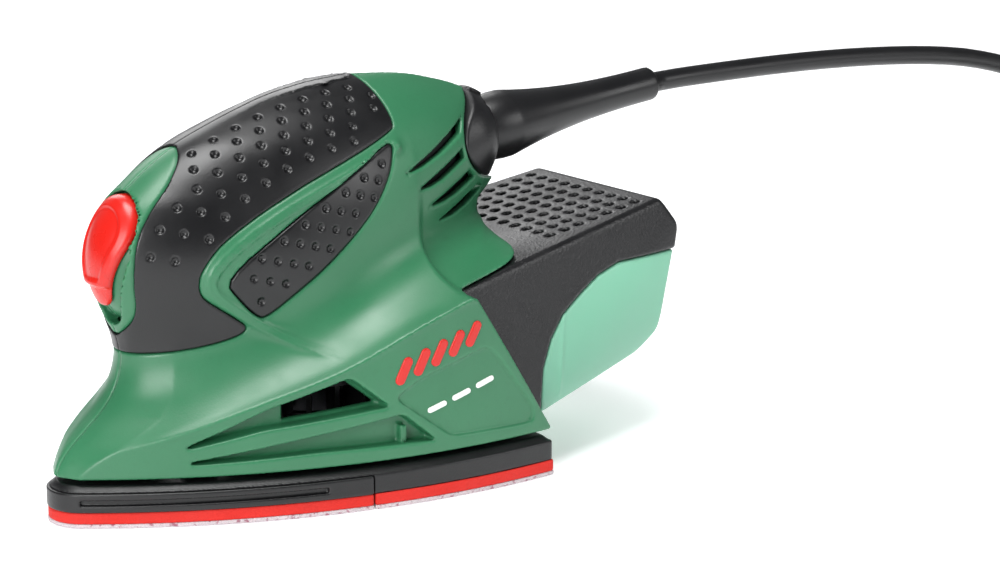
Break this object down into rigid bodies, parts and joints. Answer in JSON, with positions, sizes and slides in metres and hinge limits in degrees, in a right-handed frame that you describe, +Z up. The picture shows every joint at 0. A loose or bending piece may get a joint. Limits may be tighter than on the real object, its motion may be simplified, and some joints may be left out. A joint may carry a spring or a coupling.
{
  "type": "electric delta sander",
  "caption": "Hand-held electric delta sander with a palm grip, slide switch, pointed orbital sanding plate, clip-on dust box and a mains cord wound into a coil.",
  "frame": {"origin": "reference centre of the sanding face, on the plane of the abrasive sheet", "axes": "-X towards the pointed nose, +X towards the dust box and cord, +Z up from the sanding face"},
  "size_m": [0.5419, 0.1522, 0.117],
  "materials": {
    "green_plastic": "satin",
    "mint_plastic": "satin",
    "black_rubber": "matte",
    "cord_rubber": "matte",
    "black_plastic": "satin",
    "dark_plastic": "satin",
    "red_plastic": "satin",
    "white_plastic": "satin",
    "yellow_plastic": "satin",
    "steel": "satin",
    "nickel": "polished",
    "lamination": "matte",
    "copper": "satin",
    "brass": "satin",
    "carbon": "matte",
    "die_cast": "satin",
    "red_pad": "matte",
    "abrasive": "matte",
    "filter_paper": "matte",
    "wire_blue": "satin"
  },
  "bodies": {
    "housing": {"housing_left": "green_plastic", "housing_right": "green_plastic", "grip_left": "black_rubber", "grip_right": "black_rubber", "side_grip_left": "black_rubber", "side_grip_right": "black_rubber", "rear_cap": "black_rubber", "side_bars": "red_plastic", "side_strips": "white_plastic", "switch_module": "black_plastic", "capacitor": "yellow_plastic", "terminal_block": "white_plastic", "cord_clamp": "black_plastic", "small_screws": "steel", "cord_sleeve": "cord_rubber", "inner_cord": "cord_rubber", "cord": "cord_rubber", "cord_coil": "cord_rubber", "cord_tail": "cord_rubber", "coil_tie": "black_plastic", "plug_body": "cord_rubber", "plug_pins": "nickel", "stator_core": "lamination", "field_coils": "copper", "brush_holders": "brass", "carbon_brushes": "carbon", "brush_springs": "steel", "upper_bearing_outer": "steel", "lower_bearing_outer": "steel", "bearing_bush": "black_rubber", "bearing_bracket": "die_cast", "housing_screws": "steel", "motor_leads": "wire_blue"},
    "armature": {"motor_shaft": "steel", "armature_core": "lamination", "armature_windings": "copper", "commutator": "copper", "fan": "black_plastic", "counterweight": "brass", "upper_bearing_inner": "steel", "lower_bearing_inner": "steel", "eccentric_bearing_inner": "steel", "circlip": "steel"},
    "plate": {"carrier_plate": "black_plastic", "delta_plate": "black_plastic", "delta_screw": "steel", "leg_screws": "steel", "rubber_legs": "black_rubber", "rear_pad": "red_pad", "delta_pad": "red_pad", "rear_sheet": "abrasive", "delta_sheet": "abrasive", "eccentric_bearing_outer": "steel"},
    "switch": {"switch_button": "red_plastic", "switch_link": "black_plastic"},
    "dust_box": {"dust_frame": "dark_plastic", "filter_frame": "dark_plastic", "filter_pleats": "filter_paper", "port_seal": "black_rubber"},
    "container": {"dust_container": "mint_plastic"}
  },
  "joints": [
    {"name": "motor_spin", "type": "hinge", "parent": "housing", "child": "armature", "pos_m": [0.018, 0, 0.06], "axis": [0, 0, 1], "continuous": true},
    {"name": "plate_orbit", "type": "hinge", "parent": "armature", "child": "plate", "pos_m": [0.0187, 0, 0.0175], "axis": [0, 0, 1], "continuous": true},
    {"name": "switch_slide", "type": "hinge", "parent": "housing", "child": "switch", "pos_m": [-0.0322, 0, 0.0717], "axis": [0, -1, 0], "range_deg": [0, 10]},
    {"name": "dust_box_slide", "type": "slide", "parent": "housing", "child": "dust_box", "axis": [1, 0, 0], "range_m": [0, 0.06]},
    {"name": "container_release", "type": "slide", "parent": "dust_box", "child": "container", "axis": [0.6, 0, -0.8], "range_m": [0, 0.018]}
  ],
  "couplings": [
    {"joint": "plate_orbit", "follows": "motor_spin", "ratio": -1}
  ]
}
